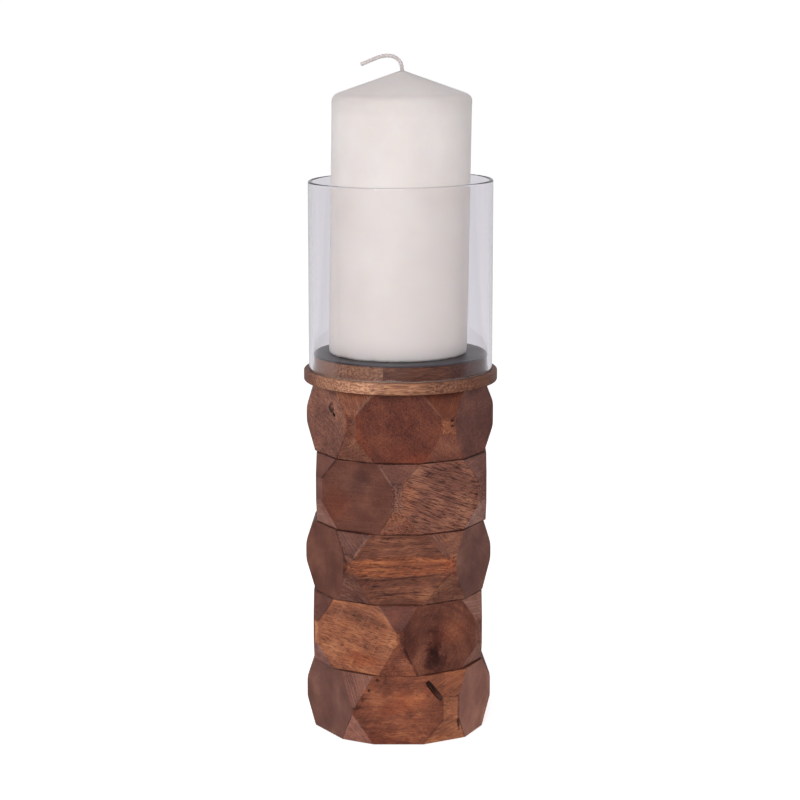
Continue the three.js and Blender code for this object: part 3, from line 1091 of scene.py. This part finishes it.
def charcoal_coat():
    """Charcoal powder coat: a fine orange-peel surface with faint rub marks."""
    coat = Shader("charcoal_coat")
    cloud = coat.noise(coat.place, 18 * MM, detail=3)
    drawn = coat.stretched(coat.rotated(0, 0, 35), along=20)
    rubs = coat.step(coat.noise(drawn, 0.7 * MM), 0.6, 0.75) * 0.12
    colour = coat.between(cloud, (0.030, 0.025, 0.031), (0.049, 0.040, 0.051))
    gloss = coat.step(cloud, 0.2, 0.8, low=0.34, high=0.46)
    colour = coat.mix(rubs, colour, (0.14, 0.13, 0.14))
    peel = coat.noise(coat.place, 0.5 * MM)
    return coat.finish(colour, gloss, peel, depth=0.04 * MM, strength=0.5, IOR=1.5)


def add_ledge():
    """The ledge, the disc on it and the plate on the disc. The screws pass through both boards."""
    ledge_wood = turned_wood("lacquered_ledge", "glass_ledge", 0, LEDGE_TONES_AND_LIGHT, glued=False)
    disc_wood = turned_wood("lacquered_disc", "raised_disc", DISC_HEADING, DISC_STAVES_AND_LIGHT, glued=True)
    for node, edge, suffix, material, slot in (
        ("glass_ledge", LEDGE_EDGE, "_wood", ledge_wood, "turned_wood"),
        ("raised_disc", DISC_EDGE, "_wood", disc_wood, "turned_wood"),
        ("candle_plate", PLATE_EDGE, "_coated", charcoal_coat(), "plate_charcoal"),
    ):
        made = to_object(node + suffix, turned(board_profile(node, edge)))
        if slot == "turned_wood":
            cut(made, screw_bores())
        finish_piece(made, material, "holder", slot, node)


# ---------------------------------------------------------------- glass chimney

GLASS_WALL = 2 * MM
RIM_STEPS = 10
RIM_SHADE_HEIGHT = 0.8 * MM
RIM_SLANT = 0.9 * MM
FOOT_HEIGHT = 0.8 * MM
RIM_PAINTED_SHADE = (0.66, 0.65, 0.67)
SHADOW_TINT = (0.99, 0.985, 0.985)


def clear_glass():
    """Clear glass with a faint lavender cast, painted shade along its upper rim, and a ground foot."""
    low, high = boxes["glass_chimney"]
    glass = Shader("clear_glass")
    level = glass.axis(glass.place, "Z")
    slant = glass.step(glass.axis(glass.place, "X"), low.x, high.x, high=RIM_SLANT)
    # Painted shade: a darker band along the top rim, slanted with it.
    rim = glass.step(level - slant, high.z - RIM_SHADE_HEIGHT, high.z - RIM_SHADE_HEIGHT / 2)
    foot = glass.step(level, low.z + FOOT_HEIGHT, low.z + FOOT_HEIGHT / 2)
    drift = glass.noise(glass.place, 60 * MM)
    colour = glass.between(drift, (0.992, 0.986, 0.988), (0.998, 0.992, 0.994))
    colour = glass.mix(rim, colour, RIM_PAINTED_SHADE)
    ripple = glass.noise(glass.place, 25 * MM, detail=1)
    glass.let_light_through(SHADOW_TINT)
    glass.set(IOR=1.46, Transmission_Weight=1.0)
    return glass.finish(colour, foot * 0.5, ripple, depth=0.1 * MM, strength=0.2)


def slant_rim(mesh):
    """Raises the tube's right side a little towards its top, which was cut slightly out of square."""
    low, high = boxes["glass_chimney"]
    for vertex in mesh.verts:
        across = (vertex.co.x - low.x) / (high.x - low.x)
        smooth_share = across * across * (3 - 2 * across)
        vertex.co.z += RIM_SLANT * smooth_share * (vertex.co.z - low.z) / (high.z - low.z)


def add_chimney():
    """An open tube with fire-polished, fully rounded rims."""
    low, high = boxes["glass_chimney"]
    round_radius = GLASS_WALL / 2
    middle = box_radius("glass_chimney") - round_radius
    lower = arc(middle, low.z + round_radius, round_radius, -180, 0, RIM_STEPS)
    upper = arc(middle, high.z - round_radius, round_radius, 0, 180, RIM_STEPS)
    mesh = turned([*lower, *upper], closed=True)
    slant_rim(mesh)
    tube = to_object("glass_chimney_tube", mesh)
    finish_piece(tube, clear_glass(), "chimney", "clear_glass", "glass_chimney")


# ---------------------------------------------------------------- candle

SHOULDER_BELOW_TIP = 13.375 * MM
SHOULDER_ON_CONE = 4.2 * MM
SHOULDER_ON_WALL = 2.8 * MM
SHOULDER_STEPS = 14
CONE_SHARES = (0.25, 0.5, 0.75, 1)
BASE_ROUND = 1.6 * MM
BASE_STEPS = 6
WICK_BORE = 1.4 * MM
WALL_RINGS = 48
SEAM_RISE = 0.15 * MM
SEAM_HALF_WIDTH = 0.6 * MM
LEAN_AT_BASE = -1.45 * MM
LEAN_AT_SHOULDER = 0.75 * MM

# How far the wall wanders and the base's edge is chipped, and how fine the lumps of each are.
WALL_UNEVEN = 0.12 * MM
WALL_LUMPS = 30
BASE_RAGGED = 0.8 * MM
CHIP_LUMPS = ((9, 1.0), (40, 0.6))
CHIP_LIFT = 0.5

# Painted shading of the wax, by share of the height from below its rim to its tip: painted shade on the
# shoulder and a painted glow on the cone near its rim.
PAINTED_SHADING_BELOW_RIM = 10.4 * MM
PAINTED_TOP_SHADING = ((0.0, 1.0), (0.27, 0.925), (0.36, 0.89), (0.45, 0.98), (0.53, 1.095), (1.0, 1.0))

WICK_RADIUS = 1.1 * MM
WICK_STRANDS = 3
WICK_PITCH = 5.5 * MM
WICK_STEP = 0.45 * MM
WICK_STRAIGHT = 14 * MM
STRAND_SHARE = 0.62
STRAND_SIDES = 8

# The wick's visible curl: x and rise above the candle's tip, in mm, down to its cut end.
WICK_CURL = (
    (0, 0.5), (-1, 4.2), (-3.9, 6.7), (-7.6, 7.5), (-11.4, 7), (-15, 5.7), (-18.8, 4.1), (-22.1, 2.8),
)


def lean(z):
    """How far the candle has leaned along X at a height, up to its shoulder."""
    low, high = boxes["candle_wax"]
    share = (z - low.z) / (high.z - SHOULDER_BELOW_TIP - low.z)
    return LEAN_AT_BASE + (LEAN_AT_SHOULDER - LEAN_AT_BASE) * min(share, 1)


def shoulder_curve(radius, height, slope):
    """The candle's soft shoulder: a quadratic curve from its wall to its cone, smooth at both ends."""
    corner = Vector((radius, height))
    wall = corner - Vector((0, SHOULDER_ON_WALL))
    cone = corner + Vector((-cos(slope), sin(slope))) * SHOULDER_ON_CONE
    points = []
    for step in range(SHOULDER_STEPS + 1):
        share = step / SHOULDER_STEPS
        points.append(tuple(wall.lerp(corner, share).lerp(corner.lerp(cone, share), share)))
    return points


def wax_profile():
    """Half section of the candle: wall, rounded shoulder, shallow cone, and the bore of its wick."""
    low, high = boxes["candle_wax"]
    radius = box_radius("candle_wax")
    slope = atan2(SHOULDER_BELOW_TIP, radius)
    rounded = shoulder_curve(radius, high.z - SHOULDER_BELOW_TIP, slope)
    recess = box_radius("wick_tab") + CLEARANCE
    ceiling = boxes["wick_tab"][1].z + CLEARANCE
    wall_bottom = low.z + BASE_ROUND
    seam = rounded[0][1] - 2 * SEAM_HALF_WIDTH
    ring_height = (seam - SEAM_HALF_WIDTH - wall_bottom) / WALL_RINGS
    wall = [(radius, wall_bottom + ring_height * ring) for ring in range(1, WALL_RINGS + 1)]
    wall += [(radius + SEAM_RISE, seam), (radius, seam + SEAM_HALF_WIDTH)]
    start = rounded[-1][0]
    reaches = [start + (WICK_BORE - start) * share for share in CONE_SHARES]
    cone = [(reach, high.z - reach * tan(slope)) for reach in reaches]
    base = arc(radius - BASE_ROUND, wall_bottom, BASE_ROUND, -90, 0, BASE_STEPS)
    return [(recess, low.z), *base, *wall, *rounded, *cone, (WICK_BORE, ceiling), (recess, ceiling)]


def shape_wax(mesh):
    """Leans the candle, and makes its wall and its base's edge slightly uneven."""
    low = boxes["candle_wax"][0]
    radius = box_radius("candle_wax")
    for vertex in mesh.verts:
        flat = Vector((vertex.co.x, vertex.co.y, 0))
        outward = flat.normalized()
        height = vertex.co.z - low.z
        if flat.length > radius / 2:
            uneven = noise.noise(vertex.co * WALL_LUMPS) * WALL_UNEVEN
            chip = sum(share * noise.noise(outward * lumps) for lumps, share in CHIP_LUMPS)
            near_base = max(0, 1 - height / (2 * BASE_ROUND))
            vertex.co += outward * (uneven - abs(chip) * BASE_RAGGED * near_base)
            if 0 < height < BASE_ROUND:
                vertex.co.z += max(0, chip) * BASE_RAGGED * CHIP_LIFT
        vertex.co.x += lean(vertex.co.z)


def candle_wax():
    """Off-white paraffin: light scatters in it, its skin is faintly mottled, and its top has painted
    shading, a darker shoulder and a paler cone near the rim.
    """
    wax = Shader("candle_wax")
    tip = boxes["candle_wax"][1].z
    start = tip - SHOULDER_BELOW_TIP - PAINTED_SHADING_BELOW_RIM
    share = (wax.axis(wax.place, "Z") - start) / (tip - start)
    # Painted shading along the candle's top.
    shade = wax.ramp(share, *((place, (level,) * 3) for place, level in PAINTED_TOP_SHADING))
    cloud = wax.noise(wax.place, 28 * MM, detail=4, roughness=0.55)
    mottle = wax.noise(wax.place, 2.2 * MM, detail=3, roughness=0.6)
    colour = wax.between(cloud, (0.710, 0.654, 0.632), (0.765, 0.720, 0.698))
    colour = wax.mix(wax.step(mottle, 0.55, 0.8, high=0.25), colour, (0.84, 0.80, 0.77))
    gloss = wax.step(mottle, 0.3, 0.7, low=0.42, high=0.56)
    wax.set(Subsurface_Weight=0.6, Subsurface_Radius=(1.0, 0.8, 0.6), Subsurface_Scale=8 * MM)
    dents = wax.noise(wax.place, 9 * MM, detail=3) + mottle * 0.12
    return wax.finish(wax.tinted(colour, shade), gloss, dents, depth=0.25 * MM, strength=0.5, IOR=1.44)


def wick_path():
    """Points along the wick, from just above its tab to its cut end, evenly spaced."""
    bottom = boxes["candle_wick"][0].z
    tip = boxes["candle_wax"][1].z
    top = lean(tip)
    points = [Vector((lean(bottom), 0, bottom)), Vector((top, 0, tip - WICK_STRAIGHT))]
    points += [Vector((top + x * MM, 0, tip + rise * MM)) for x, rise in WICK_CURL]
    controls = [2 * points[0] - points[1], *points, 2 * points[-1] - points[-2]]
    path = []
    for before, start, end, after in zip(controls, controls[1:], controls[2:], controls[3:]):
        steps = ceil((end - start).length / WICK_STEP)
        path += [curve_point(before, start, end, after, step / steps) for step in range(steps)]
    return [*path, points[-1]]


def curve_point(before, start, end, after, share):
    """A point of a Catmull-Rom curve between start and end, with gentle tangents."""
    reach = (end - start).length
    leave = (end - before).normalized() * reach
    arrive = (after - start).normalized() * reach
    square, cube = share ** 2, share ** 3
    return (start * (2 * cube - 3 * square + 1) + leave * (cube - 2 * square + share)
            + end * (3 * square - 2 * cube) + arrive * (cube - square))


def ring_of_points(centre, side, up, radius, count):
    """Points evenly spaced round a centre, in the plane of two directions."""
    angles = [2 * pi * index / count for index in range(count)]
    return [centre + (side * cos(angle) + up * sin(angle)) * radius for angle in angles]


def add_strand(mesh, path, start_turn):
    """One strand, which winds round the path from its own start."""
    side = Vector((0, 1, 0))
    radius = WICK_RADIUS * STRAND_SHARE
    rings = []
    travelled = 0.0
    for index, point in enumerate(path):
        ahead = path[min(index + 1, len(path) - 1)] - path[max(index - 1, 0)]
        up = ahead.normalized().cross(side)
        travelled += (point - path[index - 1]).length if index else 0
        turn = 2 * pi * (start_turn + travelled / WICK_PITCH)
        centre = point + (side * cos(turn) + up * sin(turn)) * (WICK_RADIUS - radius)
        ring = ring_of_points(centre, side, up, radius, STRAND_SIDES)
        rings.append([mesh.verts.new(place) for place in ring])
    for low, high in zip(rings, rings[1:]):
        bridge(mesh, low, high)
    mesh.faces.new(reversed(rings[0]))
    mesh.faces.new(rings[-1])


def twisted_wick():
    """Three strands laid round one another along the wick's path."""
    path = wick_path()
    mesh = bmesh.new()
    for strand in range(WICK_STRANDS):
        add_strand(mesh, path, strand / WICK_STRANDS)
    bmesh.ops.recalc_face_normals(mesh, faces=mesh.faces)
    return mesh


def wick_cotton():
    """Waxed cotton: fine fibres, with wax filling the hollows between strands."""
    cotton = Shader("wick_cotton")
    fibres = cotton.noise(cotton.place, 0.25 * MM, detail=3, roughness=0.7)
    clumps = cotton.noise(cotton.place, 1.4 * MM)
    colour = cotton.between(clumps, (0.52, 0.46, 0.45), (0.72, 0.67, 0.66))
    colour = cotton.mix(cotton.step(fibres, 0.5, 0.8, high=0.4), colour, (0.82, 0.78, 0.77))
    gloss = cotton.step(fibres, 0.2, 0.8, low=0.55, high=0.8)
    return cotton.finish(colour, gloss, fibres, depth=0.1 * MM, strength=0.8)


def add_candle():
    mesh = turned(wax_profile(), closed=True)
    shape_wax(mesh)
    wax = to_object("pillar_candle", mesh)
    finish_piece(wax, candle_wax(), "candle", "candle_wax", "candle_wax")
    wick = to_object("twisted_wick", twisted_wick())
    finish_piece(wick, wick_cotton(), "candle", "wick_cotton", "candle_wick", sharp_angle=60)


# ---------------------------------------------------------------- hidden hardware and felt

FELT_EDGE = 0.4 * MM
FELT_UNEVEN = 0.25 * MM
FELT_LUMPS = 700


def zinc_steel():
    """Bright zinc plate with a spangled bloom and fine drawing marks."""
    zinc = Shader("zinc_plate")
    bloom = zinc.noise(zinc.place, 3 * MM, detail=3)
    marks = zinc.noise(zinc.stretched(zinc.rotated(0, 90, 0), along=12), 0.3 * MM)
    colour = zinc.between(bloom, (0.50, 0.51, 0.53), (0.66, 0.67, 0.68))
    gloss = zinc.step(marks, 0.3, 0.7, low=0.25, high=0.42)
    return zinc.finish(colour, gloss, marks, depth=0.03 * MM, strength=0.5, Metallic=1.0)


def dowel_beech():
    """Raw beech: pale, with short dark flecks along the grain."""
    beech = Shader("raw_beech")
    grain = beech.rotated(0, 90, 0)
    fibres = beech.noise(beech.stretched(grain, along=12), 0.8 * MM, detail=3, roughness=0.6)
    flecks = beech.step(beech.noise(beech.stretched(grain, along=5), 0.7 * MM, detail=1), 0.62, 0.72)
    colour = beech.between(fibres, (0.46, 0.30, 0.17), (0.68, 0.50, 0.31))
    colour = beech.mix(flecks * 0.5, colour, (0.30, 0.17, 0.09))
    gloss = beech.step(fibres, 0.2, 0.8, low=0.6, high=0.8)
    return beech.finish(colour, gloss, fibres, depth=0.1 * MM, strength=0.6)


def felt_cloth():
    """Pressed black felt: matted fibres with a dusty sheen."""
    felt = Shader("pressed_felt")
    matted = felt.wobbled(felt.place, size=0.8 * MM, amount=0.8 * MM)
    fibres = felt.noise(matted, 0.35 * MM, detail=3, roughness=0.7)
    dust = felt.noise(felt.place, 5 * MM, detail=3)
    colour = felt.ramp(fibres, (0.3, (0.012, 0.012, 0.012)), (0.75, (0.055, 0.052, 0.050)))
    colour = felt.mix(felt.step(dust, 0.5, 0.8, high=0.3), colour, (0.08, 0.075, 0.07))
    gloss = felt.step(dust, 0.2, 0.8, low=0.85, high=1.0)
    return felt.finish(colour, gloss, fibres, depth=0.25 * MM, strength=0.8, Sheen_Weight=0.3)


def add_felt():
    pad = turned(board_profile("base_felt_pad", FELT_EDGE))
    for vertex in pad.verts:
        outward = Vector((vertex.co.x, vertex.co.y, 0))
        vertex.co += outward.normalized() * noise.noise(outward * FELT_LUMPS) * FELT_UNEVEN
    made = to_object("felt_pad", pad)
    finish_piece(made, felt_cloth(), "holder", "base_felt", "base_felt_pad")


def paint_hardware():
    """Gives the CAD nodes that stay their materials."""
    zinc, beech = zinc_steel(), dowel_beech()
    for name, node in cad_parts.items():
        if node.hide_render:
            continue
        node.data.materials.clear()
        node.data.materials.append(beech if name.startswith("dowel_") else zinc)


# ---------------------------------------------------------------- stage, lights and camera

LENS = 105.3
SENSOR = 36
CAMERA_PLACE = (-0.0003, -1.2606, 0.4149)
CAMERA_PITCH = 10.452

# Softboxes: azimuth, elevation, distance, width, height and power. All face the middle of the object.
SOFTBOXES = {
    "key_softbox": (-16, 24, 1.8, 1.1, 0.9, 19),
    "left_softbox": (-65, 30, 2.0, 0.7, 0.9, 1.2),
    "fill_softbox": (60, 15, 2.2, 1.0, 1.2, 4),
}

# The floor glows a little, more for the camera and more behind the glass. In reflections it's dim where
# it lies in front of the object, and, in those that glass doesn't pass on, where it isn't far behind.
FLOOR_RINGS = (0, 0.5, 2, 40)
FLOOR_DEPTH = 0.01
FLOOR_SIDES = 96
FLOOR_GLOW = 0.28
FLOOR_BLEACH = 0.5
FLOOR_BEHIND_GLASS = 0.16
FLOOR_THROUGH_GLASS = (0.768, 0.750, 0.792)
FLOOR_REFLECTED = (0.12, 0.12, 0.125)
FLOOR_IN_FRONT = (0.1, -0.2)
FLOOR_NEAR = (0.95, 0.65)

# Where the light of the surroundings starts and stops to change, and its strength there: by height in
# the sky, then from behind the camera to beside the object.
STUDIO_TINT = (0.98, 0.965, 1.0)
STUDIO_BY_HEIGHT = (0.1, 0.9, 0.64, 0.46)
STUDIO_BY_DEPTH = (-0.8, 0.0, 0.35, 1.0)
BACKDROP = (1, 1, 1)


def add_camera():
    data = bpy.data.cameras.new("camera")
    data.lens = LENS
    data.sensor_width = SENSOR
    camera = add_object("camera", data)
    camera.location = CAMERA_PLACE
    camera.rotation_euler = (radians(90 - CAMERA_PITCH), 0, 0)
    bpy.context.scene.camera = camera


def add_softbox(name, azimuth, elevation, distance, width, height, power):
    """A rectangular area light that faces the middle of the object."""
    low, high = cad_bounds
    target = Vector((0, 0, (low[2] + high[2]) / 2))
    data = bpy.data.lights.new(name, "AREA")
    data.shape = "RECTANGLE"
    data.size = width
    data.size_y = height
    data.energy = power
    light = add_object(name, data)
    flat = distance * cos(radians(elevation))
    light.location = target + polar(flat, azimuth, distance * sin(radians(elevation)))
    light.rotation_euler = (target - light.location).to_track_quat("-Z", "Y").to_euler()


def floor_paper():
    """White paper, bleached for the camera, tinted behind the glass and dim in reflections."""
    paper = Shader("floor_paper")
    grain = paper.noise(paper.place, 3 * MM, detail=3)
    camera, through = paper.ray("Is Camera Ray"), paper.ray("Is Transmission Ray")
    depth = paper.axis(paper.place, "Y")
    outside = paper.step(depth, *FLOOR_NEAR) * (1.0 - through)
    dims = paper.math("MAXIMUM", paper.step(depth, *FLOOR_IN_FRONT), outside)
    reflected = paper.math("GREATER_THAN", paper.ray("Glossy Depth"), 0.5)
    direct = 1.0 - reflected * dims
    glow = FLOOR_GLOW + camera * FLOOR_BLEACH + through * FLOOR_BEHIND_GLASS
    colour = paper.between(grain, (0.84, 0.84, 0.84), (0.86, 0.86, 0.86))
    colour = paper.mix(through, colour, FLOOR_THROUGH_GLASS)
    paper.set(Base_Color=paper.mix(direct, FLOOR_REFLECTED, colour), Specular_IOR_Level=0.1)
    paper.set(Emission_Color=colour, Emission_Strength=glow * direct)
    paper.set(Roughness=paper.step(grain, 0.3, 0.7, low=0.85, high=0.95))
    return paper.material


def add_floor():
    """A round paper floor, far wider than the object."""
    profile = [(radius, 0) for radius in FLOOR_RINGS]
    profile += [(FLOOR_RINGS[-1], -FLOOR_DEPTH), (0, -FLOOR_DEPTH)]
    floor = to_object("floor", turned(profile, FLOOR_SIDES))
    floor.data.materials.append(floor_paper())


def add_world():
    """Pale surroundings, dimmer overhead and behind the camera, with a white backdrop for the camera."""
    world = bpy.data.worlds.new("studio")
    bpy.context.scene.world = world
    world.use_nodes = True
    sky = Tree(world.node_tree)
    direction = sky.value("Generated", "ShaderNodeTexCoord")
    strength = sky.step(sky.axis(direction, "Z"), *STUDIO_BY_HEIGHT)
    strength = strength * sky.step(sky.axis(direction, "Y"), *STUDIO_BY_DEPTH)
    studio = sky.node_that_ends("Background")
    sky.feed(studio.inputs["Color"], (*STUDIO_TINT, 1))
    sky.feed(studio.inputs["Strength"], strength)
    backdrop = sky.value(0, "ShaderNodeBackground", {"Color": (*BACKDROP, 1)})
    inputs = {0: sky.ray("Is Camera Ray"), 1: Value(sky, studio.outputs[0]), 2: backdrop}
    sky.show(sky.value(0, "ShaderNodeMixShader", inputs))


def add_stage():
    add_camera()
    for name, placed in SOFTBOXES.items():
        add_softbox(name, *placed)
    add_floor()
    add_world()
    bpy.context.scene.view_settings.view_transform = "Standard"


# ---------------------------------------------------------------- the object


def main():
    add_stage()
    for block in BLOCKS:
        add_block(block)
    add_ledge()
    add_chimney()
    add_candle()
    add_felt()
    paint_hardware()


main()
